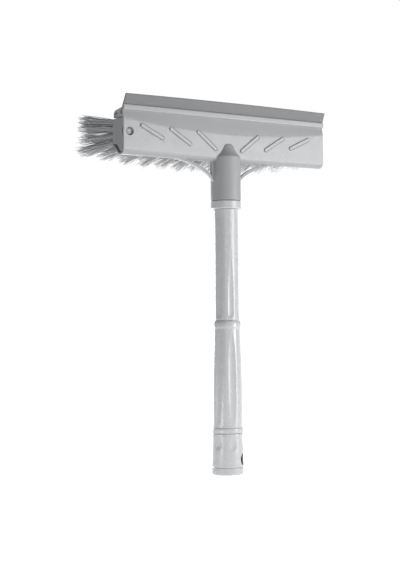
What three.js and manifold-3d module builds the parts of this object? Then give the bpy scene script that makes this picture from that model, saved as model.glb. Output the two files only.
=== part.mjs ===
// Window cleaning squeegee: a rubber blade and a scrubbing brush share one head on a screw-on handle.
// Millimetres. The handle stands on Z with its end face at the origin, X runs along the blade,
// the flat panel faces -Y and the bristles point to +Y.
import * as THREE from 'three';
import { mergeVertices } from 'three/addons/utils/BufferGeometryUtils.js';
import Module from 'manifold-3d';

const wasm = await Module();
wasm.setup();

// ---- Driving dimensions ----

const gap = 0.3; // between two pieces that touch on the real object

const head = {
  length: 250,
  top: 368.6,
  bottom: 320.6,
  ceiling: 357.4, // of the room for the brush block, in front
  backCeiling: 362.6, // and behind the step
  ceilingStepY: 5.9,
  frontY: -6,
  wall: 2.4,
  endWall: 2.4,
};

const lip = { height: 4.5, proud: 1 };
const cove = { depth: 1, dropAtEnds: 11, dropAtMiddle: 19.2 };
const topHook = { centreY: 9, centreZ: 360.7, radius: 4.3, startDrop: 1.8, tipBottom: 357.8, innerY: 12 };
const bottomHook = { centreY: 2, radius: 5, wall: 1.7, slope: 40, tipY: 15.4 }; // slope in degrees
const chin = { radius: 5.6 };

const blade = {
  length: 249.4,
  thickness: 2,
  reach: 11.7,
  beadRadius: 1.9,
  beadDepth: 7,
  lean: 23,
  endCut: 1, // how much shorter the free edge is at the left end
};
const channel = { mouthY: -4.3, halfWidth: 1.35, pocketRadius: 2.3 };

const block = {
  frontY: -3.2,
  backY: 15.2,
  top: 356.8,
  neckBottom: 333,
  foot: [[-3.2, 324.4], [-1.9, 323.2], [0.6, 323.2], [7.8, 331.6]], // (y, z) of the underside
};
const flange = { frontY: 6.2, neckY: 9.3, backY: 11.7, bottom: 359.2, top: 361.2 }; // held by the top hook
const peg = { radius: 3.1, x: -117.7, z: 343.2, frontY: -4.5, backY: 1 };
const pegHole = { radius: 3.6, grooveFrontY: -4.8, boreBackY: 3.7 };

const tuft = {
  columns: 13,
  rowTilts: [6.5, 4, -3.5, -17], // degrees above level, from the top row down
  endLift: [0, 0, 0, 9], // how much higher the end columns of each row point
  rowPitch: 6.3,
  span: 231, // from the first column to the last
  length: 48,
  rootRadius: 1.6,
  tipRadius: 3,
  holeRadius: 1.9,
  holeDepth: 6,
  endSplay: 22, // sideways lean of the end columns, in degrees
};

const rib = { width: 4, height: 0.8 };
const ribLines = [ // distance from the middle and drop below the head's top, inner end then outer end
  [[16.5, 36.5], [37.5, 20.5]],
  [[47.5, 33.5], [70, 20]],
  [[80.5, 29.8], [104, 18.8]],
];

const socket = { radius: 13, bottom: 280.3, shoulder: 324, boreRadius: 9.6, boreTop: 311 };
const nose = { topRadius: 7.8, top: 337.4 };
const wing = {
  thickness: 3,
  root: 11, // inside the socket's wall
  shoulder: 13,
  reach: 66,
  foot: 296,
  bend: [24, 314], // pulls the lower edge into its curve
  depthInHead: 2,
};
const wingWindow = { inner: 18.5, outer: 51, bottom: 305.6, top: 318.8, bend: [27, 316] };

const thread = { pitch: 5, turns: 4, coreRadius: 7.6, crestRadius: 9 };
const collar = { radius: 15.4, bottom: 271.5, top: 280 };
const tube = { bottom: 157.3, top: 271.2, boreRadius: 8.9 };
const grip = { bottom: 42.3, top: 157, boreRadius: 11.7 };
const spigot = { radius: 11.3, length: 18 };
const ferruleSpigot = { radius: 8.5, length: 20 };
const endCap = { radius: 16.2, top: 42, floor: 3, boreRadius: 9 };
const flute = { count: 6, bearing: -14, halfWidth: 17 }; // degrees; bearings go from the front towards +X
const hangingHole = { radius: 6, z: 15.4, bearing: flute.bearing + 57 };

// ---- Materials ----

function finish(color, roughness) {
  return () => new THREE.MeshStandardMaterial({ color, roughness, metalness: 0 });
}

const shellPlastic = finish(0xa6a7a9, 0.4);
const handlePlastic = finish(0xb7b8ba, 0.2);
const brushPlastic = finish(0x959697, 0.45);
const bladeRubber = finish(0x6e6f6f, 0.55);
const bristleNylon = finish(0xb4b6bb, 0.4);

// ---- Helpers ----

const radians = THREE.MathUtils.degToRad;

function toSolid(geometry) {
  const bare = geometry.index ? geometry.toNonIndexed() : geometry.clone();
  bare.deleteAttribute('normal');
  bare.deleteAttribute('uv');
  const merged = mergeVertices(bare, 1e-4);
  const corners = merged.index.array;
  const triangles = [];
  for (let start = 0; start < corners.length; start += 3) {
    const [a, b, c] = corners.slice(start, start + 3);
    if (a !== b && b !== c && c !== a) { // a turned shape has empty triangles on its axis
      triangles.push(a, b, c);
    }
  }
  return new wasm.Manifold(new wasm.Mesh({
    numProp: 3,
    vertProperties: new Float32Array(merged.attributes.position.array),
    triVerts: new Uint32Array(triangles),
  }));
}

function toGeometry(solid) {
  const mesh = solid.getMesh();
  const geometry = new THREE.BufferGeometry();
  geometry.setAttribute('position', new THREE.BufferAttribute(mesh.vertProperties, 3));
  geometry.setIndex(new THREE.BufferAttribute(mesh.triVerts, 1));
  return geometry;
}

function joined(geometries) {
  return geometries.map(toSolid).reduce((whole, piece) => whole.add(piece));
}

function cut(solid, geometries) {
  return geometries.map(toSolid).reduce((rest, tool) => rest.subtract(tool), solid);
}

// Extrudes a section drawn in (y, z) along X.
function extrudeAlongX(section, startX, endX, curveSegments = 8) {
  const depth = endX - startX;
  const geometry = new THREE.ExtrudeGeometry(section, { depth, bevelEnabled: false, curveSegments });
  const turn = new THREE.Matrix4().makeBasis(
    new THREE.Vector3(0, 1, 0), new THREE.Vector3(0, 0, 1), new THREE.Vector3(1, 0, 0));
  return geometry.applyMatrix4(turn).translate(startX, 0, 0);
}

// Extrudes a face drawn in (x, z) towards the front, from backY to frontY.
function extrudeToFront(face, backY, frontY, curveSegments = 8) {
  const depth = backY - frontY;
  const geometry = new THREE.ExtrudeGeometry(face, { depth, bevelEnabled: false, curveSegments });
  const turn = new THREE.Matrix4().makeBasis(
    new THREE.Vector3(1, 0, 0), new THREE.Vector3(0, 0, 1), new THREE.Vector3(0, -1, 0));
  return geometry.applyMatrix4(turn).translate(0, backY, 0);
}

// Turns a profile of [radius, z] pairs, listed from the bottom up, about Z.
function turned(profile, segments = 32) {
  const points = profile.map(([radius, z]) => new THREE.Vector2(radius, z));
  return new THREE.LatheGeometry(points, segments).rotateX(Math.PI / 2);
}

function cylinder(radius, bottom, top, segments = 32) {
  return turned([[0, bottom], [radius, bottom], [radius, top], [0, top]], segments);
}

// A round bar from front to back through the point (x, z).
function pinAlongY(radius, x, z, frontY, backY, segments = 24) {
  return new THREE.CylinderGeometry(radius, radius, backY - frontY, segments)
    .translate(x, (frontY + backY) / 2, z);
}

function onCircle(centreY, centreZ, radius, degrees) {
  const angle = radians(degrees);
  return [centreY + radius * Math.cos(angle), centreZ + radius * Math.sin(angle)];
}

// Adds an anticlockwise arc to a shape, from one angle to another in degrees.
function addArc(shape, centreX, centreY, radius, from, to) {
  shape.absarc(centreX, centreY, radius, radians(from), radians(to), false);
}

function part(name, geometry, material) {
  const mesh = new THREE.Mesh(geometry, material);
  mesh.name = name;
  return mesh;
}

// ---- Head shell ----

const bottomHookZ = head.bottom + bottomHook.radius;

// Height at y of the lower hook's straight part, on its outside or its inside.
function hookLineZ(radius, y) {
  const [startY, startZ] = onCircle(bottomHook.centreY, bottomHookZ, radius, bottomHook.slope - 90);
  return startZ + (y - startY) * Math.tan(radians(bottomHook.slope));
}

// Outside of the head, with its open back still filled in.
function outerSection() {
  const section = new THREE.Shape();
  section.moveTo(head.frontY, head.bottom + chin.radius);
  addArc(section, head.frontY + chin.radius, head.bottom + chin.radius, chin.radius, 180, 270);
  addArc(section, bottomHook.centreY, bottomHookZ, bottomHook.radius, -90, bottomHook.slope - 90);
  section.lineTo(bottomHook.tipY, hookLineZ(bottomHook.radius, bottomHook.tipY));
  section.lineTo(topHook.centreY + topHook.radius, topHook.tipBottom);
  addArc(section, topHook.centreY, topHook.centreZ, topHook.radius, 0, 85);
  section.lineTo(channel.mouthY + channel.halfWidth, head.top - topHook.startDrop);
  section.lineTo(channel.mouthY + channel.halfWidth, head.top);
  section.lineTo(head.frontY - lip.proud, head.top);
  section.lineTo(head.frontY - lip.proud, head.top - lip.height);
  section.lineTo(head.frontY, head.top - lip.height - lip.proud);
  return section;
}

// The room that the brush block slides in, open at the back between the two hooks.
function cavitySection() {
  const innerY = head.frontY + head.wall;
  const innerRadius = bottomHook.radius - bottomHook.wall;
  const floorZ = head.bottom + bottomHook.wall;
  const openY = block.backY + 5;
  const section = new THREE.Shape();
  section.moveTo(innerY, floorZ + 1.7);
  section.lineTo(innerY + 1.4, floorZ);
  addArc(section, bottomHook.centreY, bottomHookZ, innerRadius, -90, bottomHook.slope - 90);
  section.lineTo(openY, hookLineZ(innerRadius, openY));
  section.lineTo(openY, topHook.tipBottom);
  section.lineTo(topHook.innerY, topHook.tipBottom);
  section.lineTo(topHook.innerY, topHook.centreZ + 0.5);
  section.lineTo(topHook.innerY - 1.4, head.backCeiling);
  section.lineTo(head.ceilingStepY, head.backCeiling);
  section.lineTo(head.ceilingStepY, head.ceiling);
  section.lineTo(innerY, head.ceiling);
  return section;
}

// Strip with a round bead on its foot; the blade and its channel are both this shape.
function beadedStrip(halfWidth, beadRadius, length) {
  const lean = radians(blade.lean);
  const toSection = (across, up) => [
    channel.mouthY + across * Math.cos(lean) - up * Math.sin(lean),
    head.top + across * Math.sin(lean) + up * Math.cos(lean),
  ];
  const beadSteps = 14;
  const opening = Math.asin(halfWidth / beadRadius);
  const section = new THREE.Shape();
  section.moveTo(...toSection(halfWidth, length));
  section.lineTo(...toSection(-halfWidth, length));
  for (let step = 0; step <= beadSteps; step += 1) {
    const angle = Math.PI / 2 + opening + (step / beadSteps) * (2 * Math.PI - 2 * opening);
    const across = beadRadius * Math.cos(angle);
    const up = beadRadius * Math.sin(angle) - blade.beadDepth;
    section.lineTo(...toSection(across, up));
  }
  return section;
}

// Long shallow hollow under the lip, deeper in the middle of the head than at its ends.
function coveCut() {
  const reach = head.length / 2 + 1;
  const start = head.top - lip.height;
  const end = head.top - cove.dropAtEnds;
  const pull = head.top - 2 * cove.dropAtMiddle + cove.dropAtEnds;
  const face = new THREE.Shape();
  face.moveTo(-reach, start);
  face.lineTo(-reach, end);
  face.quadraticCurveTo(0, pull, reach, end);
  face.lineTo(reach, start);
  return extrudeToFront(face, head.frontY + cove.depth, head.frontY - 5, 16);
}

// Raised bar with round ends between two points of the panel.
function ribBar([startX, startDrop], [endX, endDrop]) {
  const along = THREE.MathUtils.radToDeg(Math.atan2(startDrop - endDrop, endX - startX));
  const face = new THREE.Shape();
  addArc(face, startX, head.top - startDrop, rib.width / 2, along + 90, along + 270);
  addArc(face, endX, head.top - endDrop, rib.width / 2, along - 90, along + 90);
  return extrudeToFront(face, head.frontY + 1, head.frontY - rib.height, 5);
}

function ribs() {
  const right = ribLines.map(([inner, outer]) => ribBar(inner, outer));
  const left = ribLines.map(([inner, outer]) => ribBar([-outer[0], outer[1]], [-inner[0], inner[1]]));
  return [...left, ...right];
}

// Flat wing on the right, between the socket and the head, with a curved lower edge and a window.
function wingPlate() {
  const top = head.bottom + wing.depthInHead;
  const face = new THREE.Shape();
  face.moveTo(wing.root, wing.foot);
  face.lineTo(wing.shoulder, wing.foot);
  face.quadraticCurveTo(...wing.bend, wing.reach, head.bottom + 0.6);
  face.lineTo(wing.reach, top);
  face.lineTo(wing.root, top);
  const window = new THREE.Path();
  window.moveTo(wingWindow.inner, wingWindow.bottom);
  window.quadraticCurveTo(...wingWindow.bend, wingWindow.outer, wingWindow.top);
  window.lineTo(wingWindow.inner, wingWindow.top);
  face.holes.push(window);
  return extrudeToFront(face, wing.thickness / 2, -wing.thickness / 2, 8);
}

// Both wings: half a turn about the handle carries one to the other.
function wings() {
  return [wingPlate(), wingPlate().rotateZ(Math.PI)];
}

function socketBody() {
  return turned([
    [0, socket.bottom],
    [socket.radius, socket.bottom],
    [socket.radius, socket.shoulder],
    [nose.topRadius, nose.top],
    [nose.topRadius - 2, nose.top + 1.2],
    [0, nose.top + 1.2],
  ], 40);
}

// Bore of the socket, with ring-shaped thread crests that sit between those of the stud.
function socketBore() {
  const profile = [[0, socket.bottom - 1], [socket.boreRadius, socket.bottom - 1]];
  for (let turn = 0; turn < thread.turns; turn += 1) {
    const crest = socket.bottom + (turn + 1) * thread.pitch + 0.5;
    profile.push([socket.boreRadius, crest - 1.1]);
    profile.push([socket.boreRadius - 1.2, crest - 0.4]);
    profile.push([socket.boreRadius - 1.2, crest + 0.4]);
    profile.push([socket.boreRadius, crest + 1.1]);
  }
  profile.push([socket.boreRadius, socket.boreTop], [0, socket.boreTop + 3]);
  return turned(profile, 28);
}

// Shallow way in the panel's inner face, so that the peg can travel out of the left end.
function pegGroove() {
  const face = new THREE.Shape();
  const left = -head.length / 2 - 1;
  face.moveTo(left, peg.z - pegHole.radius);
  face.lineTo(peg.x, peg.z - pegHole.radius);
  face.absarc(peg.x, peg.z, pegHole.radius, -Math.PI / 2, Math.PI / 2, false);
  face.lineTo(left, peg.z + pegHole.radius);
  return extrudeToFront(face, block.frontY, pegHole.grooveFrontY, 8);
}

function headShell() {
  const left = -head.length / 2;
  const right = head.length / 2;
  const envelope = cut(toSolid(extrudeAlongX(outerSection(), left, right)), [coveCut()]);
  const body = envelope.add(joined([socketBody(), ...wings(), ...ribs()]));
  const strip = beadedStrip(channel.halfWidth, channel.pocketRadius, blade.reach + 5);
  const hollow = cut(body, [
    extrudeAlongX(cavitySection(), left - 1, right - head.endWall),
    extrudeAlongX(strip, left - 1, right + 1),
    socketBore(),
    pinAlongY(pegHole.radius, peg.x, peg.z, head.frontY - 1, block.frontY),
    pegGroove(),
  ]);
  return part('head_shell', toGeometry(hollow), shellPlastic());
}

// ---- Rubber blade ----

// Blade whose left end is cut at a slight slant.
function rubberBlade() {
  const left = -blade.length / 2;
  const top = head.top + blade.reach;
  const strip = beadedStrip(blade.thickness / 2, blade.beadRadius, blade.reach);
  const slant = new THREE.Shape();
  slant.moveTo(left - 1, head.top);
  slant.lineTo(left, head.top);
  slant.lineTo(left + blade.endCut, top);
  slant.lineTo(left - 1, top);
  const body = toSolid(extrudeAlongX(strip, left, -left));
  return part('rubber_blade', toGeometry(cut(body, [extrudeToFront(slant, 10, -20)])), bladeRubber());
}

// ---- Brush ----

function tuftRoots() {
  const roots = [];
  const middleZ = (block.top + block.neckBottom) / 2;
  tuft.rowTilts.forEach((tilt, row) => {
    const z = middleZ + ((tuft.rowTilts.length - 1) / 2 - row) * tuft.rowPitch;
    for (let column = 0; column < tuft.columns; column += 1) {
      const side = (2 * column) / (tuft.columns - 1) - 1;
      const splay = tuft.endSplay * side * Math.abs(side);
      roots.push({
        name: `tuft_row${row + 1}_${column + 1}`,
        x: (side * tuft.span) / 2,
        z,
        tilt: tilt + tuft.endLift[row] * side * side,
        splay,
      });
    }
  });
  return roots;
}

// Block whose foot slants back over the shell's lower hook, with a flange under its top hook.
function blockSection() {
  const section = new THREE.Shape();
  section.moveTo(...block.foot[0]);
  block.foot.slice(1).forEach((point) => section.lineTo(...point));
  section.lineTo(block.backY, block.neckBottom);
  section.lineTo(block.backY, block.top);
  section.lineTo(flange.neckY, block.top);
  section.lineTo(flange.neckY, flange.bottom);
  section.lineTo(flange.backY, flange.bottom);
  section.lineTo(flange.backY, flange.top - 1.2);
  section.lineTo(flange.backY - 1.2, flange.top);
  section.lineTo(flange.frontY, flange.top);
  section.lineTo(flange.frontY, block.top);
  section.lineTo(block.frontY, block.top);
  return section;
}

function brushBlock(roots) {
  const left = -head.length / 2;
  const right = head.length / 2 - head.endWall - gap;
  const holeEnd = block.backY - tuft.holeDepth;
  const holes = roots.map(({ x, z }) => pinAlongY(tuft.holeRadius, x, z, holeEnd, block.backY + 1, 8));
  const pegBore = pinAlongY(pegHole.radius, peg.x, peg.z, block.frontY - 1, pegHole.boreBackY);
  const body = cut(toSolid(extrudeAlongX(blockSection(), left, right)), [pegBore, ...holes]);
  return part('brush_block', toGeometry(body), brushPlastic());
}

function lockPeg() {
  const geometry = pinAlongY(peg.radius, peg.x, peg.z, peg.frontY, peg.backY);
  return part('brush_lock_peg', geometry, brushPlastic());
}

// One bundle of bristles: a straight root in its hole, then a cone that widens to the tip.
function bristleTuft({ name, x, z, tilt, splay }) {
  const rootDepth = tuft.holeDepth - gap;
  const mouth = block.backY + gap;
  const root = new THREE.CylinderGeometry(tuft.rootRadius, tuft.rootRadius, rootDepth + gap, 6)
    .translate(0, mouth - (rootDepth + gap) / 2, 0);
  const cone = new THREE.CylinderGeometry(tuft.tipRadius, tuft.rootRadius * 0.96, tuft.length, 6)
    .translate(0, tuft.length / 2 - gap / 2, 0)
    .rotateX(radians(tilt))
    .rotateZ(radians(-splay))
    .translate(0, mouth, 0);
  const mesh = part(name, toGeometry(joined([root, cone])), bristleNylon());
  mesh.position.set(x, 0, z);
  return mesh;
}

// ---- Handle ----

// How deep the flutes are at an angle round the handle: 1 in the middle of a flute, 0 between two.
function fluteShape(angle) {
  const pitch = 360 / flute.count;
  const bearing = THREE.MathUtils.radToDeg(angle) - flute.bearing;
  const offset = bearing - pitch * Math.round(bearing / pitch);
  return Math.max(1 - (offset / flute.halfWidth) ** 2, 0);
}

// Solid of stations [z, radius, flute depth] from the bottom up.
function flutedSolid(stations, segments = 60) {
  const bottom = stations[0][0];
  const top = stations[stations.length - 1][0];
  const outline = stations.map(([z, radius]) => [radius, z]);
  const geometry = turned([[0, bottom], ...outline, [0, top]], segments);
  const position = geometry.attributes.position;
  for (let index = 0; index < position.count; index += 1) {
    const x = position.getX(index);
    const y = position.getY(index);
    const z = position.getZ(index);
    const radius = Math.hypot(x, y);
    const station = stations.find(([height]) => Math.abs(height - z) < 1e-3);
    if (radius > 0 && station[2] > 0) {
      const shrink = 1 - (station[2] * fluteShape(Math.atan2(x, -y))) / radius;
      position.setXY(index, x * shrink, y * shrink);
    }
  }
  return toSolid(geometry);
}

// Stud, collar and lower spigot in one moulding.
function threadedFerrule() {
  const profile = [
    [0, collar.bottom - ferruleSpigot.length],
    [ferruleSpigot.radius, collar.bottom - ferruleSpigot.length],
    [ferruleSpigot.radius, collar.bottom],
    [collar.radius - 0.6, collar.bottom],
    [collar.radius, collar.bottom + 0.8],
    [collar.radius, collar.top - 0.8],
    [collar.radius - 0.8, collar.top],
    [thread.coreRadius, collar.top],
  ];
  for (let turn = 0; turn < thread.turns; turn += 1) {
    const crest = collar.top + (turn + 0.5) * thread.pitch + 0.8;
    profile.push([thread.coreRadius, crest - 1.2]);
    profile.push([thread.crestRadius, crest - 0.4]);
    profile.push([thread.crestRadius, crest + 0.4]);
    profile.push([thread.coreRadius, crest + 1.2]);
  }
  const studTop = collar.top + (thread.turns + 0.6) * thread.pitch;
  profile.push([thread.coreRadius, studTop - 1], [thread.coreRadius - 1, studTop], [0, studTop]);
  return part('threaded_ferrule', turned(profile, 32), handlePlastic());
}

function upperTube() {
  const outer = flutedSolid([
    [tube.bottom, 12.1, 0],
    [tube.bottom + 1.5, 12.4, 0],
    [tube.bottom + 3, 12.4, 0],
    [tube.bottom + 5, 12.4, 1],
    [tube.bottom + 15, 12.3, 1],
    [tube.bottom + 45, 12.1, 0.5],
    [tube.bottom + 75, 12, 0],
    [tube.top - 2, 11.9, 0],
    [tube.top, 12.1, 0],
  ]);
  const shape = outer.add(toSolid(cylinder(spigot.radius, tube.bottom - spigot.length, tube.bottom + 1)));
  const bored = cut(shape, [cylinder(tube.boreRadius, tube.bottom - spigot.length - 1, tube.top + 1)]);
  return part('handle_upper_tube', toGeometry(bored), handlePlastic());
}

function gripTube() {
  const outer = flutedSolid([
    [grip.bottom, 15, 0],
    [grip.bottom + 1.2, 15.7, 0],
    [grip.bottom + 4.5, 15.7, 0],
    [grip.bottom + 6, 15, 0],
    [grip.bottom + 8, 15, 0],
    [60, 15.1, 0.6],
    [78, 15.1, 1.2],
    [97, 14.9, 1.4],
    [116, 14.4, 1.2],
    [134, 13.7, 0.6],
    [144, 13.3, 0],
    [149, 13.2, 0],
    [150.5, 13.8, 0],
    [grip.top - 2, 13.8, 0],
    [grip.top, 12.8, 0],
  ]);
  const bored = cut(outer, [cylinder(grip.boreRadius, grip.bottom - 1, grip.top + 1)]);
  return part('grip_tube', toGeometry(bored), handlePlastic());
}

function hangingEndCap() {
  const outer = flutedSolid([
    [0, endCap.radius - 1.2, 0],
    [1.2, endCap.radius, 0],
    [6.6, endCap.radius, 0],
    [7.6, endCap.radius - 0.7, 0],
    [8.6, endCap.radius - 0.1, 0],
    [25, endCap.radius - 0.3, 0],
    [28.5, endCap.radius - 0.4, 1],
    [32, endCap.radius - 0.6, 1],
    [40, endCap.radius - 0.6, 0],
    [endCap.top - 1, endCap.radius - 0.6, 0],
    [endCap.top, endCap.radius - 1.2, 0],
  ]);
  const shape = outer.add(toSolid(cylinder(spigot.radius, endCap.top - 1, endCap.top + spigot.length)));
  const hole = new THREE.CylinderGeometry(hangingHole.radius, hangingHole.radius, 2.5 * endCap.radius, 24)
    .rotateZ(radians(hangingHole.bearing))
    .translate(0, 0, hangingHole.z);
  const bore = cylinder(endCap.boreRadius, endCap.floor, endCap.top + spigot.length + 1);
  const bored = cut(shape, [bore, hole]);
  return part('hanging_end_cap', toGeometry(bored), handlePlastic());
}

// ---- Assembly ----

const roots = tuftRoots();
const group = new THREE.Group();
group.add(headShell(), rubberBlade(), brushBlock(roots), lockPeg());
roots.forEach((root) => group.add(bristleTuft(root)));
group.add(threadedFerrule(), upperTube(), gripTube(), hangingEndCap());

export default group;
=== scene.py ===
"""Looks of the window cleaning squeegee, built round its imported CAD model.

Shapes are drawn in millimetres in the CAD frame (Z up the handle, X along the blade, bristles to +Y)
and become metres in mesh_piece().
"""
import math
import random

import bmesh
import bpy
from mathutils import Matrix, Vector


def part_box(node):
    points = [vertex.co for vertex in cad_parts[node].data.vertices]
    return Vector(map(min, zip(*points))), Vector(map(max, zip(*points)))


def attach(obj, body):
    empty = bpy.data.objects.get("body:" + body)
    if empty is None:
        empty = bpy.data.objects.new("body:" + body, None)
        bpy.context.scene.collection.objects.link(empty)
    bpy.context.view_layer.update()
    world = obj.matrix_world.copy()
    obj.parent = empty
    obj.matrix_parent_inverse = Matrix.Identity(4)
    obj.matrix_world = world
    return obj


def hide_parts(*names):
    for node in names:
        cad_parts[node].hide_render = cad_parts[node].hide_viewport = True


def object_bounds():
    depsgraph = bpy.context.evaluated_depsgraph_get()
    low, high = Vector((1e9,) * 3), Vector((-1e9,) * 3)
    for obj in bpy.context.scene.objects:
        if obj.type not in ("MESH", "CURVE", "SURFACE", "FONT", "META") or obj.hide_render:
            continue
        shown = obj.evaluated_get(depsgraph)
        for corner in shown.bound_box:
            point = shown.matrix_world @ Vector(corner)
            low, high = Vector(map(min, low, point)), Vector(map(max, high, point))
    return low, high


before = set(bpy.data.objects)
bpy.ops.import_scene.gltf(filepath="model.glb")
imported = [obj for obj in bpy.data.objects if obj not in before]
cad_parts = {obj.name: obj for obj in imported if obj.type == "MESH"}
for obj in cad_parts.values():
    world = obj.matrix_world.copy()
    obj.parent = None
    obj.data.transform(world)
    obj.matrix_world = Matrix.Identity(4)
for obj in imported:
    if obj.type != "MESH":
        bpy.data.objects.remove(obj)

cad_low, cad_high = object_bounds()

MM = 0.001


def node_box(node):
    """Lowest and highest corner of a CAD node, in millimetres."""
    low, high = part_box(node)
    return low / MM, high / MM


# ---- Sizes that follow the CAD model ----

shell_low, shell_high = node_box("head_shell")
block_low, block_high = node_box("brush_block")
blade_high = node_box("rubber_blade")[1]
peg_low, peg_high = node_box("brush_lock_peg")
tube_low, tube_high = node_box("handle_upper_tube")
grip_low, grip_high = node_box("grip_tube")
cap_high = node_box("hanging_end_cap")[1]
ferrule_low, ferrule_high = node_box("threaded_ferrule")

# Outside of the head
HEAD_HALF = shell_high.x
HEAD_TOP = shell_high.z
HEAD_HEIGHT = 48
HEAD_BOTTOM = HEAD_TOP - HEAD_HEIGHT
PANEL_Y = -6
LIP_RISE = 0.7
LIP_HEIGHT = 5.2
LIP_PROUD = 0.9
COVE_DEPTH = 1.4
COVE_DROP_AT_ENDS = 11
COVE_DROP_AT_MIDDLE = 19.2
CHIN_RADIUS = 5.6
CHIN_DIP = 0.9
TOP_HOOK = {"y": 9, "z": HEAD_TOP - 7.9, "radius": 4.3, "bottom": HEAD_TOP - 10.8, "inner_y": 12}
TOP_DROP = 1.8
BOTTOM_HOOK = {"y": 2, "radius": 5, "wall": 1.7, "slope": 40, "tip_y": 15.4}

# Inside of the head
WALL = 2.4
END_WALL = 2.4
CEILING = HEAD_TOP - 11.2
BACK_CEILING = HEAD_TOP - 6
CEILING_STEP_Y = 5.9

# Ribs on the panel, each from its inner to its outer end, as (distance from the middle, from the top)
RIB_WIDTH = 3.6
RIB_HEIGHT = 0.85
RIB_LINES = (((16.5, 36.5), (37.5, 20.5)), ((47.5, 33.5), (70, 20)), ((80.5, 29.8), (104, 18.8)))

# Socket. Its radius follows the deepest point of the head's box, 15.4 mm, and the CAD socket's is 13 mm
SOCKET_BOTTOM = shell_low.z
SOCKET_RADIUS = shell_high.y
NOSE_TOP = HEAD_TOP - 30
BORE_RADIUS = 9.6
THREAD_PITCH = 5
THREAD_TURNS = 4

# Rubber blade and its channel
BLADE_LEAN = math.radians(23)
BLADE_THICKNESS = 2
BLADE_REACH = 11.7
BLADE_CROWN = 0.8
BLADE_END_CUT = 1
BEAD_RADIUS = 1.9
BEAD_DEPTH = 7
CHANNEL_Y = -4.3
CHANNEL_HALF_WIDTH = 1.12
POCKET_RADIUS = 2.25

# Brush block and its lock peg
BLOCK_TOP = HEAD_TOP - 11.8
PEG_CENTRE = ((peg_low.x + peg_high.x) / 2, (peg_low.z + peg_high.z) / 2)
PEG_RADIUS = (peg_high.x - peg_low.x) / 2
PEG_HOLE_RADIUS = PEG_RADIUS + 0.45
PEG_SIDES = 48

# Tufts. A row's tilt is in degrees, with end_lift added at both ends of the brush; fan_x and fan_up say
# how wide its bristles spread. The rows go from the top down
TUFT_ROWS = (
    {"tilt": 6.5, "end_lift": 0, "fan_x": 5.5, "fan_up": 4.2},
    {"tilt": 4, "end_lift": 0, "fan_x": 6, "fan_up": 5},
    {"tilt": -3.5, "end_lift": 0, "fan_x": 7, "fan_up": 5.2},
    {"tilt": -17, "end_lift": 9, "fan_x": 8.5, "fan_up": 5},
)
TUFT_ROW_PITCH = 6.3
TUFT_MIDDLE_Z = 344.9
TUFT_COLUMNS = 13
TUFT_SPAN = 231
TUFT_END_SPLAY = 22
TUFT_HOLE_RADIUS = 1.9
TUFT_HOLE_DEPTH = 6
BRISTLES_PER_TUFT = 110
BRISTLE_LENGTH = 48
BRISTLE_RADIUS = 0.2

# Handle. Bearings are in degrees from the front, towards +X
HANDLE_GAP = 0.3
HANDLE_SEGMENTS = 180
FLUTES = 6
FLUTE_BEARING = -14
FLUTE_HALF_WIDTH = 17
FLUTE_DEPTH = 1.4
HANGING_HOLE = {"radius": 6, "z": 15.4, "bearing": FLUTE_BEARING + 57}

# How much less rough the polished part of the shell is
POLISH = 0.27


# ---- Mesh helpers ----

def mesh_piece(name, points, faces):
    """Object from points in millimetres and faces, with its normals pointing out."""
    mesh = bpy.data.meshes.new(name)
    mesh.from_pydata([Vector(point) * MM for point in points], [], faces)
    piece = bpy.data.objects.new(name, mesh)
    bpy.context.scene.collection.objects.link(piece)
    shape = bmesh.new()
    shape.from_mesh(mesh)
    bmesh.ops.remove_doubles(shape, verts=shape.verts, dist=1e-7)
    bmesh.ops.recalc_face_normals(shape, faces=shape.faces)
    shape.to_mesh(mesh)
    shape.free()
    return piece


def loft(name, rings):
    """Closed body through rings of the same number of points, capped at both ends."""
    count = len(rings[0])
    points = [point for ring in rings for point in ring]
    faces = []
    for ring in range(len(rings) - 1):
        for index in range(count):
            after = (index + 1) % count
            base = ring * count
            faces.append((base + index, base + after, base + count + after, base + count + index))
    faces.append(tuple(range(count)))
    faces.append(tuple(range((len(rings) - 1) * count, len(rings) * count)))
    return mesh_piece(name, points, faces)


def turned(name, profile, segments=96, inset=None):
    """Profile of (radius, z) pairs turned about Z. It starts and ends on the axis, or closes on itself.

    inset(angle, z, radius) is how much smaller the radius is there.
    """
    on_axis = profile[0][0] == 0 and profile[-1][0] == 0
    points = []
    for segment in range(segments):
        angle = 2 * math.pi * segment / segments
        for radius, z in profile:
            depth = inset(angle, z, radius) if inset else 0
            reach = radius - depth
            points.append((reach * math.sin(angle), -reach * math.cos(angle), z))
    count = len(profile)
    steps = count - 1 if on_axis else count
    faces = []
    for segment in range(segments):
        here = segment * count
        there = ((segment + 1) % segments) * count
        for index in range(steps):
            after = (index + 1) % count
            faces.append((here + index, there + index, there + after, here + after))
    return mesh_piece(name, points, faces)


def combine(piece, tool, operation):
    """Joins tool to piece (UNION) or cuts it out (DIFFERENCE), and removes tool."""
    modifier = piece.modifiers.new("combine", "BOOLEAN")
    modifier.operation = operation
    modifier.object = tool
    modifier.solver = "EXACT"
    shown = bpy.context.evaluated_depsgraph_get()
    result = bpy.data.meshes.new_from_object(piece.evaluated_get(shown))
    piece.modifiers.clear()
    if len(result.polygons) < 12:
        raise ValueError(f"{operation} of {tool.name} with {piece.name} left almost nothing")
    piece.data = result
    bpy.data.objects.remove(tool)
    return piece


def join(pieces, name):
    """One object from several."""
    shape = bmesh.new()
    for piece in pieces:
        shape.from_mesh(piece.data)
        bpy.data.objects.remove(piece)
    mesh = bpy.data.meshes.new(name)
    shape.to_mesh(mesh)
    shape.free()
    joined = bpy.data.objects.new(name, mesh)
    bpy.context.scene.collection.objects.link(joined)
    return joined


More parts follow.
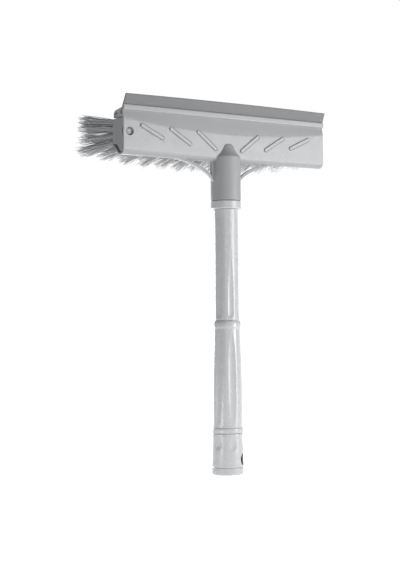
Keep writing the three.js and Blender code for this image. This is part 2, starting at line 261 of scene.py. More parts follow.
def round_edges(piece, width, sharper_than=50, segments=2):
    """Rounds the edges that turn by more than an angle in degrees."""
    shape = bmesh.new()
    shape.from_mesh(piece.data)
    limit = math.radians(sharper_than)
    edges = [edge for edge in shape.edges if edge.is_manifold and edge.calc_face_angle() > limit]
    bmesh.ops.bevel(shape, geom=edges, offset=width * MM, segments=segments, affect="EDGES", profile=0.5,
                    clamp_overlap=True)
    shape.to_mesh(piece.data)
    shape.free()
    return piece


def complete(piece, material, body, nodes, smooth_angle=32):
    """Shades the piece smooth between its sharp edges and ties it to the CAD model."""
    piece.data.materials.clear()
    piece.data.materials.append(material)
    piece.data.shade_smooth()
    piece.data.set_sharp_from_angle(angle=math.radians(smooth_angle))
    weighted = piece.modifiers.new("even_normals", "WEIGHTED_NORMAL")
    weighted.keep_sharp = True
    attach(piece, body)
    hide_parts(*nodes)
    return piece


def arc(centre, radius, start, end, steps):
    """Points of an arc from start to end, in degrees, ends included."""
    points = []
    for step in range(steps + 1):
        angle = math.radians(start + (end - start) * step / steps)
        points.append((centre[0] + radius * math.cos(angle), centre[1] + radius * math.sin(angle)))
    return points


def rings_along_y(centre, levels, sides):
    """Rings of points round an axis along Y through a centre (x, z). levels are (y, radius)."""
    last_angle = 360 - 360 / sides
    return [[(x, y, z) for x, z in arc(centre, radius, 0, last_angle, sides - 1)] for y, radius in levels]


def along_x(section, start, end):
    """The two rings of a straight bar along X with a section of (y, z) points."""
    return [[(x, y, z) for y, z in section] for x in (start, end)]


def quadratic(start, pull, end, steps):
    """Points of a quadratic curve, ends included."""
    points = []
    for step in range(steps + 1):
        t = step / steps
        keep = (1 - t) ** 2
        bend = 2 * t * (1 - t)
        points.append(tuple(keep * a + bend * b + t * t * c for a, b, c in zip(start, pull, end)))
    return points


def smooth_step(low, high, value):
    """0 up to low and 1 from high on, with a soft passage between them."""
    t = min(max((value - low) / (high - low), 0), 1)
    return t * t * (3 - 2 * t)


# ---- Materials ----

class Nodes:
    """Short way to build a material's nodes."""

    def __init__(self, name):
        self.material = bpy.data.materials.new(name)
        self.material.use_nodes = True
        self.tree = self.material.node_tree
        self.shader = self.tree.nodes["Principled BSDF"]
        self.place = self.tree.nodes.new("ShaderNodeTexCoord").outputs["Object"]

    def link(self, output, target):
        self.tree.links.new(output, target)

    def noise(self, scale, detail=3, roughness=0.55, stretch=(1, 1, 1)):
        """Noise of about scale features per metre, stretched along the axes."""
        mapping = self.tree.nodes.new("ShaderNodeMapping")
        mapping.inputs["Scale"].default_value = stretch
        self.link(self.place, mapping.inputs["Vector"])
        noise = self.tree.nodes.new("ShaderNodeTexNoise")
        noise.inputs["Scale"].default_value = scale
        noise.inputs["Detail"].default_value = detail
        noise.inputs["Roughness"].default_value = roughness
        self.link(mapping.outputs["Vector"], noise.inputs["Vector"])
        return noise.outputs["Fac"]

    def ramp(self, value, low, high, from_low=0.3, from_high=0.7):
        """Colours from low to high as value goes from from_low to from_high."""
        ramp = self.tree.nodes.new("ShaderNodeValToRGB")
        ramp.color_ramp.elements[0].position = from_low
        ramp.color_ramp.elements[0].color = (*low, 1)
        ramp.color_ramp.elements[1].position = from_high
        ramp.color_ramp.elements[1].color = (*high, 1)
        self.link(value, ramp.inputs["Fac"])
        return ramp.outputs["Color"]

    def span(self, value, low, high, from_low=0.3, from_high=0.7):
        """Numbers from low to high as value goes from from_low to from_high."""
        span = self.tree.nodes.new("ShaderNodeMapRange")
        span.inputs["From Min"].default_value = from_low
        span.inputs["From Max"].default_value = from_high
        span.inputs["To Min"].default_value = low
        span.inputs["To Max"].default_value = high
        self.link(value, span.inputs["Value"])
        return span.outputs["Result"]

    def mix(self, amount, first, second):
        """Colours from first to second as amount goes from 0 to 1."""
        mix = self.tree.nodes.new("ShaderNodeMix")
        mix.data_type = "RGBA"
        self.link(amount, mix.inputs["Factor"])
        self.link(first, mix.inputs["A"])
        self.link(second, mix.inputs["B"])
        return mix.outputs["Result"]

    def bump(self, height, distance, strength=1.0, under=None):
        """Bump of a height in millimetres, on top of an earlier bump."""
        bump = self.tree.nodes.new("ShaderNodeBump")
        bump.inputs["Strength"].default_value = strength
        bump.inputs["Distance"].default_value = distance * MM
        self.link(height, bump.inputs["Height"])
        if under:
            self.link(under, bump.inputs["Normal"])
        return bump.outputs["Normal"]

    def maths(self, operation, first, second):
        """Result of a maths operation on an output and on another output or a number."""
        maths = self.tree.nodes.new("ShaderNodeMath")
        maths.operation = operation
        self.link(first, maths.inputs[0])
        if isinstance(second, (int, float)):
            maths.inputs[1].default_value = second
        else:
            self.link(second, maths.inputs[1])
        return maths.outputs["Value"]

    def along(self, axis):
        """Place along an axis of the object, in metres."""
        split = self.tree.nodes.new("ShaderNodeSeparateXYZ")
        self.link(self.place, split.inputs["Vector"])
        return split.outputs[axis]

    def geometry(self, output):
        """An output of the Geometry node, such as how much an edge stands out."""
        return self.tree.nodes.new("ShaderNodeNewGeometry").outputs[output]


def tinted(colour, factor):
    """The colour made lighter or darker by a factor."""
    return tuple(min(channel * factor, 1) for channel in colour)


def moulded_plastic(name, colour, roughness, flow, polish=None, painted_shade=None):
    """Satin injection-moulded plastic: faint flow clouds, fine mould texture, lighter edges that are
    partly rubbed wear and partly a painted highlight.

    flow stretches the clouds along the way the plastic ran in the mould. polish makes a map that is 1
    where the mould was polished, and the last argument one that is 1 where painted shade darkens the colour.
    """
    nodes = Nodes(name)
    clouds = nodes.noise(9, detail=4, stretch=flow)
    tone = nodes.ramp(clouds, tinted(colour, 0.96), tinted(colour, 1.03))
    # Lighter where edges stand out: partly rubbed wear, partly a painted highlight.
    edge_wear_and_highlight = nodes.ramp(clouds, tinted(colour, 1.1), tinted(colour, 1.16))
    edges = nodes.span(nodes.geometry("Pointiness"), 0, 0.55, 0.53, 0.62)
    base = nodes.mix(edges, tone, edge_wear_and_highlight)
    # Painted shade: where the last map is 1, the colour is darkened to about a sixth.
    if painted_shade:
        painted_shade_tone = nodes.ramp(clouds, tinted(colour, 0.14), tinted(colour, 0.2))
        base = nodes.mix(painted_shade(nodes), base, painted_shade_tone)
    nodes.link(base, nodes.shader.inputs["Base Color"])
    scuffs = nodes.noise(120, detail=5, roughness=0.7)
    satin = nodes.span(scuffs, roughness - 0.05, roughness + 0.06)
    if polish:
        shine = nodes.maths("MULTIPLY", polish(nodes), POLISH)
        satin = nodes.maths("SUBTRACT", satin, shine)
    nodes.link(satin, nodes.shader.inputs["Roughness"])
    waves = nodes.bump(nodes.noise(45, detail=1), 0.05, 0.35)
    grain = nodes.bump(nodes.noise(2600, detail=2), 0.012, 0.5, under=waves)
    nodes.link(grain, nodes.shader.inputs["Normal"])
    nodes.shader.inputs["IOR"].default_value = 1.57
    return nodes.material


def polished_panel(nodes):
    """1 on the front panel and the lip, which stand proud of the matt cove and chin, else 0."""
    depth = nodes.along("Y")
    in_front = nodes.span(depth, 1, 0, PANEL_Y * MM, (PANEL_Y + 0.45) * MM)
    behind = nodes.span(depth, 0, 1, (PANEL_Y - LIP_PROUD - 0.3) * MM, (PANEL_Y - LIP_PROUD - 0.1) * MM)
    above = nodes.span(nodes.along("Z"), 0, 1, (HEAD_BOTTOM + 1) * MM, (HEAD_BOTTOM + 4) * MM)
    return nodes.maths("MULTIPLY", nodes.maths("MULTIPLY", in_front, behind), above)


def hole_painted_shade(nodes):
    """1 inside the end cap's hanging hole, which is nearer the axis than the cap's outside, else 0.
    There the cap's colour is darkened as painted shade.
    """
    x_squared = nodes.maths("POWER", nodes.along("X"), 2)
    y_squared = nodes.maths("POWER", nodes.along("Y"), 2)
    from_axis = nodes.maths("SQRT", nodes.maths("ADD", x_squared, y_squared), 0)
    deep = 14.9
    skin = 15.4
    inside = nodes.span(from_axis, 1, 0, deep * MM, skin * MM)
    hole_top = HANGING_HOLE["z"] + HANGING_HOLE["radius"]
    below = nodes.span(nodes.along("Z"), 1, 0, (hole_top + 0.1) * MM, (hole_top + 0.6) * MM)
    return nodes.maths("MULTIPLY", inside, below)


def blade_rubber():
    """Smooth grey rubber with drawn lines along the blade and a dusty bloom."""
    nodes = Nodes("blade_rubber")
    colour = (0.155, 0.157, 0.16)
    bloom = nodes.noise(60, detail=5, roughness=0.65, stretch=(0.25, 1, 1))
    nodes.link(nodes.ramp(bloom, tinted(colour, 0.9), tinted(colour, 1.1)), nodes.shader.inputs["Base Color"])
    nodes.link(nodes.span(bloom, 0.5, 0.64), nodes.shader.inputs["Roughness"])
    drawn = nodes.bump(nodes.noise(900, detail=2, stretch=(0.02, 1, 1)), 0.03, 0.4)
    grain = nodes.bump(nodes.noise(3000, detail=2), 0.01, 0.4, under=drawn)
    nodes.link(grain, nodes.shader.inputs["Normal"])
    nodes.shader.inputs["IOR"].default_value = 1.52
    return nodes.material


def bristle_nylon():
    """Grey nylon filament: every bristle has its own tone, and the light goes a little way in."""
    nodes = Nodes("bristle_nylon")
    colour = (0.43, 0.437, 0.45)
    each = nodes.geometry("Random Per Island")
    tone = nodes.ramp(each, tinted(colour, 0.62), tinted(colour, 1.25), 0, 1)
    nodes.link(tone, nodes.shader.inputs["Base Color"])
    nodes.link(nodes.span(each, 0.32, 0.5, 0, 1), nodes.shader.inputs["Roughness"])
    drawn = nodes.bump(nodes.noise(1500, detail=2, stretch=(1, 0.05, 1)), 0.02, 0.4)
    nodes.link(drawn, nodes.shader.inputs["Normal"])
    nodes.shader.inputs["Subsurface Weight"].default_value = 0.12
    nodes.shader.inputs["Subsurface Radius"].default_value = (0.4 * MM, 0.4 * MM, 0.4 * MM)
    return nodes.material


# ---- Head shell ----

def middle_bow(x):
    """1 in the middle of the head, 0 at its ends."""
    return 1 - (x / HEAD_HALF) ** 2


def front_profile(x):
    """Front of the head at x, from the top of the lip down to the chin: lip, cove, panel."""
    lip_top = HEAD_TOP + LIP_RISE
    lip_y = PANEL_Y - LIP_PROUD
    lip_end = lip_top - LIP_HEIGHT
    cove_end = HEAD_TOP - COVE_DROP_AT_ENDS - (COVE_DROP_AT_MIDDLE - COVE_DROP_AT_ENDS) * middle_bow(x)
    cove_start = lip_end - 1.2
    crest = 0.6
    profile = arc((lip_y + crest, lip_top - crest), crest, 90, 180, 4)
    profile += [(lip_y, lip_top - 2.2)]
    profile += arc((lip_y + 0.7, lip_end + 0.5), 0.7, 180, 245, 4)
    profile += [(PANEL_Y + 0.7, lip_end - 0.5)]
    for share in (1, 0.6, 0.25):
        profile += [(PANEL_Y + COVE_DEPTH * share, cove_end + (cove_start - cove_end) * share)]
    profile += [(PANEL_Y + 0.1, cove_end - 0.2), (PANEL_Y, cove_end - 1.5)]
    profile += [(PANEL_Y, cove_end - 3), (PANEL_Y, HEAD_BOTTOM + CHIN_RADIUS + 2)]
    return profile


def bottom_hook_line(radius, end_y):
    """Lower hook's outside or inside: an arc from straight below, then a slanted line up to end_y."""
    centre = (BOTTOM_HOOK["y"], HEAD_BOTTOM + BOTTOM_HOOK["radius"])
    line = arc(centre, radius, -85, BOTTOM_HOOK["slope"] - 90, 6)
    start_y, start_z = line[-1]
    return line + [(end_y, start_z + (end_y - start_y) * math.tan(math.radians(BOTTOM_HOOK["slope"])))]


def outer_section(x):
    """Outline of the head at x, its open back still filled in."""
    chin_z = HEAD_BOTTOM + CHIN_RADIUS - CHIN_DIP * middle_bow(x)
    section = front_profile(x)
    section += arc((PANEL_Y + CHIN_RADIUS, chin_z), CHIN_RADIUS, 180, 270, 10)
    section += bottom_hook_line(BOTTOM_HOOK["radius"], BOTTOM_HOOK["tip_y"])
    section += [(TOP_HOOK["y"] + TOP_HOOK["radius"], TOP_HOOK["bottom"])]
    section += arc((TOP_HOOK["y"], TOP_HOOK["z"]), TOP_HOOK["radius"], 0, 85, 10)
    section += [(CHANNEL_Y + 2, HEAD_TOP - TOP_DROP), (CHANNEL_Y + 1.6, HEAD_TOP - TOP_DROP + 0.2)]
    section += [(CHANNEL_Y + 1.5, HEAD_TOP)]
    return section


def shrunk(section, amount):
    """The outline moved in by an amount along its normals."""
    moved = []
    count = len(section)
    for index, (y, z) in enumerate(section):
        before = section[index - 1]
        after = section[(index + 1) % count]
        along = Vector((after[0] - before[0], after[1] - before[1])).normalized()
        moved.append((y - along.y * amount, z + along.x * amount))
    return moved


def head_envelope():
    """Solid of the head's outside, its two ends slightly rounded."""
    rounding = 0.4
    end_steps = [(0, 1), (0.1, 0.5), (0.35, 0.13), (1, 0)]
    ends = [(HEAD_HALF - place * rounding, share * rounding) for place, share in end_steps]
    inner_stations = 61
    reach = HEAD_HALF - 2 * rounding
    inner = [(-reach + 2 * reach * step / (inner_stations - 1), 0) for step in range(inner_stations)]
    stations = [(-x, inset) for x, inset in ends] + inner + [(x, inset) for x, inset in reversed(ends)]
    rings = []
    for x, inset in stations:
        section = shrunk(outer_section(x), inset)
        rings.append([(x, y, z) for y, z in section])
    return loft("head_shell_body", rings)


def cavity_section():
    """Room for the brush block, open at the back between the two hooks."""
    inner_y = PANEL_Y + WALL
    floor_z = HEAD_BOTTOM + BOTTOM_HOOK["wall"]
    open_y = block_high.y + 5
    section = [(inner_y, floor_z + 1.7), (inner_y + 1.4, floor_z)]
    section += bottom_hook_line(BOTTOM_HOOK["radius"] - BOTTOM_HOOK["wall"], open_y)
    section += [(open_y, TOP_HOOK["bottom"])]
    section += [(TOP_HOOK["inner_y"], TOP_HOOK["bottom"]), (TOP_HOOK["inner_y"], TOP_HOOK["z"] + 0.5)]
    section += [(TOP_HOOK["inner_y"] - 1.4, BACK_CEILING), (CEILING_STEP_Y, BACK_CEILING)]
    section += [(CEILING_STEP_Y, CEILING), (inner_y, CEILING)]
    return section


def beaded_strip(half_width, bead_radius, length, crown=0):
    """Strip with a round bead on its foot, leaning forward: the blade's section and its channel's."""
    def place(across, up):
        return (CHANNEL_Y + across * math.cos(BLADE_LEAN) - up * math.sin(BLADE_LEAN),
                HEAD_TOP + across * math.sin(BLADE_LEAN) + up * math.cos(BLADE_LEAN))

    opening = math.degrees(math.asin(half_width / bead_radius))
    bead = arc((0, -BEAD_DEPTH), bead_radius, 90 + opening, 450 - opening, 28)
    edge = 0.2
    tip = length + crown
    over_lip = 2
    under_lip = -3
    outline = [(half_width, tip - edge), (half_width - edge, tip)]
    outline += [(edge - half_width, tip), (-half_width, tip - edge)]
    outline += [(-half_width, over_lip), (-half_width, under_lip)]
    outline += bead
    outline += [(half_width, under_lip), (half_width, over_lip)]
    return [place(across, up) for across, up in outline]


def rib_body(inner, outer, side, levels):
    """Bar with round ends on the panel, between two points given from the middle and the top.

    levels are (inset of the outline, height above the panel) from the back to the front.
    """
    start = Vector((side * inner[0], HEAD_TOP - inner[1]))
    end = Vector((side * outer[0], HEAD_TOP - outer[1]))
    heading = math.degrees(math.atan2(end.y - start.y, end.x - start.x))
    rings = []
    for inset, rise in levels:
        radius = RIB_WIDTH / 2 - inset
        outline = arc(start, radius, heading + 90, heading + 270, 12)
        outline += arc(end, radius, heading - 90, heading + 90, 12)
        rings.append([(x, PANEL_Y - rise, z) for x, z in outline])
    return loft("rib", rings)


def ribs():
    """Six slanted bars, three on each side, drawn as a mirrored pair each."""
    levels = ((0, -1), (0, 0.1), (0.06, 0.45), (0.25, 0.7), (0.6, RIB_HEIGHT))
    return [rib_body(inner, outer, side, levels) for inner, outer in RIB_LINES for side in (-1, 1)]


def rib_trenches():
    """Cutters for the fine trench that runs round every rib."""
    levels = ((0, -0.32), (-0.45, -0.28), (-0.75, 0), (-1.2, 1))
    return [rib_body(inner, outer, side, levels) for inner, outer in RIB_LINES for side in (-1, 1)]


def wing(side):
    """Flat wing beside the socket with a curved lower edge, rounded edges and a window."""
    foot = HEAD_TOP - 72.6
    half_thickness = 1.7
    root = 9
    reach = 66
    top = HEAD_BOTTOM + 1.8
    lower = quadratic((13, foot), (24, foot + 18), (reach, HEAD_BOTTOM + 0.4), 24)
    outline = [(root, foot)] + lower + [(reach, top), (root, top)]
    window_side = 18.2
    window_top = HEAD_BOTTOM - 0.9
    window = quadratic((window_side, foot + 9.2), (27, foot + 20), (51, window_top), 24)
    window += [(window_side, window_top)]
    plate = loft("wing", [[(side * x, y, z) for x, z in outline] for y in (-half_thickness, half_thickness)])
    hole = loft("window", [[(side * x, y, z) for x, z in window] for y in (-5, 5)])
    return round_edges(combine(plate, hole, "DIFFERENCE"), 0.7, segments=3)


def socket():
    """Cylinder of the socket and the blunt nose that runs out over the panel."""
    edge = 0.7
    profile = [(0, SOCKET_BOTTOM), (SOCKET_RADIUS - edge, SOCKET_BOTTOM)]
    profile += arc((SOCKET_RADIUS - edge, SOCKET_BOTTOM + edge), edge, -90, 0, 4)
    nose = [(SOCKET_RADIUS, 15), (SOCKET_RADIUS - 0.3, 13.4), (11.9, 10), (9.6, 5.9), (8.4, 2.8)]
    nose += [(7.8, 1.6), (7.1, 0.7), (6.3, 0.15), (5.6, 0), (0, 0)]
    profile += [(radius, NOSE_TOP - drop) for radius, drop in nose]
    return turned("socket", profile)


def socket_bore():
    """Cutter for the socket's bore, with rings of thread and a cone at its inner end."""
    below = SOCKET_BOTTOM - 1
    crest_radius = BORE_RADIUS - 1.2
    cone_start = SOCKET_BOTTOM + 30.7
    profile = [(0, below), (BORE_RADIUS + 0.8, below), (BORE_RADIUS, SOCKET_BOTTOM + 0.8)]
    for turn in range(THREAD_TURNS):
        crest = SOCKET_BOTTOM + (turn + 1) * THREAD_PITCH + 0.5
        profile += [(BORE_RADIUS, crest - 1.1), (crest_radius, crest - 0.4)]
        profile += [(crest_radius, crest + 0.4), (BORE_RADIUS, crest + 1.1)]
    profile += [(BORE_RADIUS, cone_start), (0, cone_start + 3)]
    return turned("bore", profile, 48)


def peg_hole():
    """Cutter for the peg's round hole in the panel, its front edge rounded off."""
    rounded = PEG_HOLE_RADIUS + 0.1
    levels = [(PANEL_Y - 1, rounded), (PANEL_Y, rounded)]
    levels += [(PANEL_Y + 0.2, PEG_HOLE_RADIUS), (PANEL_Y + 3.2, PEG_HOLE_RADIUS)]
    return loft("peg_hole", rings_along_y(PEG_CENTRE, levels, PEG_SIDES))


def peg_ring():
    """Cutter for the fine trench round the peg's hole."""
    inner = PEG_HOLE_RADIUS + 0.15
    outer = inner + 0.6
    ring = turned("peg_ring", [(inner, -1), (outer, -0.8), (outer, 1), (inner, 1)], PEG_SIDES)
    lay_down = Matrix.Rotation(math.radians(90), 4, "X")
    centre = Vector((PEG_CENTRE[0], PANEL_Y, PEG_CENTRE[1]))
    ring.data.transform(Matrix.Translation(centre * MM) @ lay_down)
    return ring


def peg_groove():
    """Cutter for the way in the panel's inner face by which the peg leaves through the left end."""
    centre_z = PEG_CENTRE[1]
    outside = -HEAD_HALF - 1
    outline = [(outside, centre_z + PEG_HOLE_RADIUS), (outside, centre_z - PEG_HOLE_RADIUS)]
    outline += arc(PEG_CENTRE, PEG_HOLE_RADIUS, -90, 90, 16)
    rings = [[(x, y, z) for x, z in outline] for y in (PANEL_Y + 1.2, PANEL_Y + WALL + 0.4)]
    return loft("peg_groove", rings)


def cavity(extra=0):
    """Cutter for the brush block's room, larger all round by an extra."""
    section = shrunk(cavity_section(), -extra)
    return loft("cavity", along_x(section, -HEAD_HALF - 1, HEAD_HALF - END_WALL + extra))


def channel():
    """Cutter for the blade's channel, open at both ends."""
    section = beaded_strip(CHANNEL_HALF_WIDTH, POCKET_RADIUS, BLADE_REACH + 5)
    return loft("channel", along_x(section, -HEAD_HALF - 1, HEAD_HALF + 1))


def head_shell(plastic):
    """Head in one moulding: cut out first, then joined with its socket, wings and ribs."""
    shell = head_envelope()
    for tool in [cavity(), channel(), peg_hole(), peg_ring(), peg_groove()] + rib_trenches():
        combine(shell, tool, "DIFFERENCE")
    outer_socket = combine(socket(), cavity(extra=0.2), "DIFFERENCE")
    for addition in [outer_socket, wing(-1), wing(1)] + ribs():
        combine(shell, addition, "UNION")
    combine(shell, socket_bore(), "DIFFERENCE")
    shell.name = "head_shell_moulding"
    return complete(shell, plastic, "head", ["head_shell"])


# ---- Rubber blade ----

def rubber_blade(rubber):
    """Blade with a slightly crowned edge; its left end is cut at a slant."""
    half = blade_high.x
    stations = 41
    rings = []
    for step in range(stations):
        share = step / (stations - 1)
        x = -half + 2 * half * share
        section = beaded_strip(BLADE_THICKNESS / 2, BEAD_RADIUS, BLADE_REACH, BLADE_CROWN * middle_bow(x))
        slant = BLADE_END_CUT * (1 - share) / (blade_high.z - HEAD_TOP)
        rings.append([(x + slant * max(z - HEAD_TOP, 0), y, z) for y, z in section])
    strip = loft("rubber_blade_strip", rings)
    round_edges(strip, 0.15, sharper_than=70)
    return complete(strip, rubber, "blade", ["rubber_blade"])


# ---- Brush ----

def tuft_place(row, column):
    """Mouth of a tuft's hole and the direction its bristles lean in."""
    looks = TUFT_ROWS[row]
    side = 2 * column / (TUFT_COLUMNS - 1) - 1
    rows_up = (len(TUFT_ROWS) - 1) / 2 - row
    tilt = math.radians(looks["tilt"] + looks["end_lift"] * side ** 2)
    splay = math.radians(TUFT_END_SPLAY * side * abs(side))
    root = Vector((side * TUFT_SPAN / 2, block_high.y, TUFT_MIDDLE_Z + rows_up * TUFT_ROW_PITCH))
    lean = Vector((math.sin(splay) * math.cos(tilt), math.cos(splay) * math.cos(tilt), math.sin(tilt)))
    return root, lean


def tuft_hole(row, column):
    """Cutter for one tuft's hole, which widens at its mouth."""
    root = tuft_place(row, column)[0]
    steps = ((-TUFT_HOLE_DEPTH, 0), (-0.4, 0), (-0.1, 0.1), (0, 0.35), (1, 0.35))
    levels = [(root.y + y, TUFT_HOLE_RADIUS + grow) for y, grow in steps]
    return loft("hole", rings_along_y((root.x, root.z), levels, 18))


def peg_bore():
    """Cutter for the blind bore in the block's front face that the peg is pressed into."""
    levels = [(block_low.y - 1, PEG_HOLE_RADIUS), (peg_high.y + 2.7, PEG_HOLE_RADIUS)]
    return loft("peg_bore", rings_along_y(PEG_CENTRE, levels, PEG_SIDES))


def brush_block(plastic):
    """Block with a slanted foot and, on its top, the flange that hangs it in the upper hook."""
    corner = 1.2
    foot = [(block_low.y, block_low.z + corner), (-1.9, block_low.z), (0.6, block_low.z)]
    back = [(7.8, 331.6), (block_high.y, 333), (block_high.y, BLOCK_TOP)]
    neck_y = 9.3
    flange_bottom = 359.2
    flange_front = 6.2
    flange_back = 11.7
    flange = [(neck_y, BLOCK_TOP), (neck_y, flange_bottom), (flange_back, flange_bottom)]
    flange += [(flange_back, block_high.z - corner), (flange_back - corner, block_high.z)]
    flange += [(flange_front, block_high.z), (flange_front, BLOCK_TOP)]
    section = foot + back + flange + [(block_low.y, BLOCK_TOP)]
    body = loft("brush_block_body", along_x(section, block_low.x, block_high.x))
    round_edges(body, 0.4, sharper_than=20)
    holes = [tuft_hole(row, column) for row in range(len(TUFT_ROWS)) for column in range(TUFT_COLUMNS)]
    combine(body, peg_bore(), "DIFFERENCE")
    combine(body, join(holes, "holes"), "DIFFERENCE")
    body.name = "brush_block_moulding"
    return complete(body, plastic, "brush", ["brush_block"])


def bristle(path, radius, sides=4):
    """Points and faces of one thin tube along a path, narrower at its tip."""
    points = []
    faces = []
    last = len(path) - 1
    for step, centre in enumerate(path):
        ahead = (path[min(step + 1, last)] - path[max(step - 1, 0)]).normalized()
        across = ahead.cross(Vector((0, 0, 1))).normalized()
        up = across.cross(ahead)
        reach = radius * (1 - 0.3 * step / last)
        for side in range(sides):
            angle = 2 * math.pi * side / sides
            points.append(centre + across * (reach * math.cos(angle)) + up * (reach * math.sin(angle)))
    for step in range(last):
        for side in range(sides):
            after = (side + 1) % sides
            base = step * sides
            faces.append((base + side, base + after, base + sides + after, base + sides + side))
    faces.append(tuple(reversed(range(sides))))
    faces.append(tuple(range(last * sides, (last + 1) * sides)))
    return points, faces


def bristle_tuft(row, column, nylon):
    """One bundle of bristles that fans out from its hole."""
    rng = random.Random(f"tuft {row} {column}")
    root, lean = tuft_place(row, column)
    looks = TUFT_ROWS[row]
    sideways = Vector((1, 0, 0))
    upwards = Vector((0, 0, 1))
    bundle_radius = TUFT_HOLE_RADIUS - 0.45
    steps = 5
    points = []
    faces = []
    for _ in range(BRISTLES_PER_TUFT):
        angle = rng.uniform(0, 2 * math.pi)
        reach = math.sqrt(rng.random())
        across = reach * math.cos(angle)
        high = reach * math.sin(angle)
        start = root + (sideways * across + upwards * high) * bundle_radius
        fan = sideways * (across * looks["fan_x"] + rng.gauss(0, 0.8))
        fan = fan + upwards * (high * looks["fan_up"] + rng.gauss(0, 0.6))
        length = BRISTLE_LENGTH * rng.uniform(0.95, 1.01)
        curl = sideways * rng.gauss(0, 0.7) + upwards * rng.gauss(-0.3, 0.6)
        path = [start - Vector((0, TUFT_HOLE_DEPTH - 1, 0))]
        for step in range(steps + 1):
            t = step / steps
            straight = start + lean * (length * t)
            path.append(straight + fan * (t * (0.8 + 0.2 * t)) + curl * (4 * t * (1 - t)))
        tube_points, tube_faces = bristle(path, BRISTLE_RADIUS * rng.uniform(0.85, 1.15))
        base = len(points)
        points += tube_points
        faces += [tuple(base + index for index in face) for face in tube_faces]
    place = f"row{row + 1}_{column + 1}"
    tuft = mesh_piece(f"bristles_{place}", points, faces)
    return complete(tuft, nylon, "brush", [f"tuft_{place}"], smooth_angle=75)


def lock_peg(plastic):
    """Round button with a rounded rim and a shallow dish in its face."""
    face = ((0.25, 1.9), (0.2, 1.4), (0, 1.1), (0, 0.6), (0.15, 0.2), (0.5, 0))
    levels = [(peg_low.y + depth, PEG_RADIUS - inset) for depth, inset in face]
    levels += [(peg_high.y, PEG_RADIUS)]
    peg = loft("brush_lock_peg_button", rings_along_y(PEG_CENTRE, levels, PEG_SIDES))
    return complete(peg, plastic, "lock_peg", ["brush_lock_peg"])


# ---- Handle ----

def flute_inset(deepness, outside_radius):
    """Inset of the hollow flutes, for turned(). deepness(z) is 0 where they end, 1 where deepest.

    Points nearer the axis than outside_radius are the tube's inside and stay as they are.
    """
    pitch = math.tau / FLUTES
    first = math.radians(FLUTE_BEARING)
    half_width = math.radians(FLUTE_HALF_WIDTH)

    def inset(angle, z, radius):
        share = deepness(z)
        if share <= 0 or radius < outside_radius:
            return 0
        offset = abs(((angle - first) / pitch + 0.5) % 1 - 0.5) * pitch
        across = offset / (half_width * share ** 0.4)
        return FLUTE_DEPTH * share * max(1 - across ** 2, 0)
    return inset


def curve_through(stations, spacing=1.5):
    """(radius, z) profile through (z, radius) stations, cut fine enough for the flutes to bend it."""
    profile = []
    for (z0, r0), (z1, r1) in zip(stations, stations[1:]):
        steps = max(1, round(abs(z1 - z0) / spacing))
        for step in range(steps):
            t = step / steps
            profile.append((r0 + (r1 - r0) * t, z0 + (z1 - z0) * t))
    profile.append((stations[-1][1], stations[-1][0]))
    return profile


def upper_tube(plastic):
    """Tube with a spigot in the grip below and a bore for the ferrule; its flutes fade out upwards."""
    bottom = grip_high.z + HANDLE_GAP
    top = tube_high.z
    outside = curve_through([
        (bottom, 12.1), (bottom + 0.8, 12.4), (bottom + 4, 12.4), (bottom + 12, 12.3), (200, 12.1),
        (top - 12, 11.95), (top - 3, 11.95), (top - 0.8, 12.1), (top, 12),
    ])
    bore = 8.9
    spigot = 11.3
    inside = [(bore, top), (bore, tube_low.z), (spigot - 0.3, tube_low.z)]
    inside += [(spigot, tube_low.z + 0.5), (spigot, bottom)]

    def deepness(z):
        start = smooth_step(bottom + 2.5, bottom + 5, z)
        fading = 1 - smooth_step(bottom + 15, bottom + 75, z)
        return 0.75 * start * fading

    inset = flute_inset(deepness, 11.5)
    tube = turned("handle_upper_tube_moulding", outside + inside, HANDLE_SEGMENTS, inset)
    return complete(tube, plastic, "handle", ["handle_upper_tube"])


def grip_tube(plastic):
    """Swelling grip with a ring at each end, its flutes deepest in the middle."""
    bottom = grip_low.z
    top = grip_high.z
    lower_ring = [
        (bottom, 15.3), (bottom + 0.4, 15.6), (bottom + 1.2, 15.7), (bottom + 4.5, 15.7),
        (bottom + 5.1, 15.4), (bottom + 5.5, 14.8), (bottom + 6.4, 14.75), (bottom + 7.2, 14.95),
    ]
    swell = [
        (bottom + 10, 14.95), (bottom + 24, 15.1), (78, 15.1), (97, 14.95), (116, 14.4), (130, 13.8),
        (143, 13.3), (148.6, 13.15),
    ]
    upper_ring = [
        (149.4, 13.3), (150, 13.75), (151, 13.95), (top - 2.6, 13.95), (top - 1.2, 13.6), (top, 12.9),
    ]
    outside = curve_through(lower_ring + swell + upper_ring)
    bore = 11.7

    def deepness(z):
        middle = 97
        half_length = 47.5
        return max(1 - ((z - middle) / half_length) ** 2, 0) ** 0.8

    profile = outside + [(bore, top), (bore, bottom)]
    grip = turned("grip_tube_moulding", profile, HANDLE_SEGMENTS, flute_inset(deepness, 12.5))
    return complete(grip, plastic, "handle", ["grip_tube"])


def hanging_hole():
    """Cutter for the hanging hole, wider towards both of its mouths."""
    radius = HANGING_HOLE["radius"]
    flare = ((2.2, 24), (1.2, 16.6), (0.45, 15.9), (0.1, 15.2), (0, 14.4))
    near = [(radius + grow, -reach) for grow, reach in flare]
    far = [(radius + grow, reach) for grow, reach in reversed(flare)]
    hole = turned("hanging_hole", [(0, -24)] + near + far + [(0, 24)], 72)
    lay_down = Matrix.Rotation(math.radians(90), 4, "X")
    swing = Matrix.Rotation(math.radians(HANGING_HOLE["bearing"]), 4, "Z")
    hole.data.transform(Matrix.Translation((0, 0, HANGING_HOLE["z"] * MM)) @ swing @ lay_down)
    return hole


